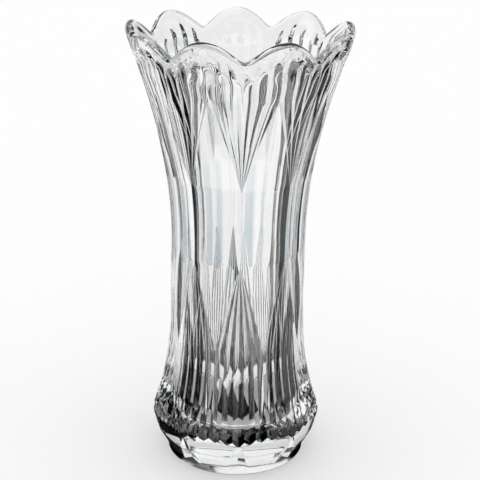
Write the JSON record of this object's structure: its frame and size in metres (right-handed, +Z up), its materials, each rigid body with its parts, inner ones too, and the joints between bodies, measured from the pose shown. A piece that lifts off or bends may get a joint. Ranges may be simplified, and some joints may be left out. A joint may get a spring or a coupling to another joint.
{
  "type": "cut crystal vase",
  "caption": "Tall clear crystal vase with a flared petal rim, a waisted wall cut with fans of flutes and long panels, and a heavy faceted base.",
  "frame": {"origin": "centre of the flat underside of the foot, on the vase's axis", "axes": "+Z up along the vase's axis; a valley of the petal rim faces -Y"},
  "size_m": [0.1486, 0.1472, 0.3],
  "materials": {
    "crystal": "polished"
  },
  "bodies": {
    "root": {"faceted_base": "crystal", "fluted_body": "crystal", "petal_rim": "crystal"}
  },
  "joints": []
}
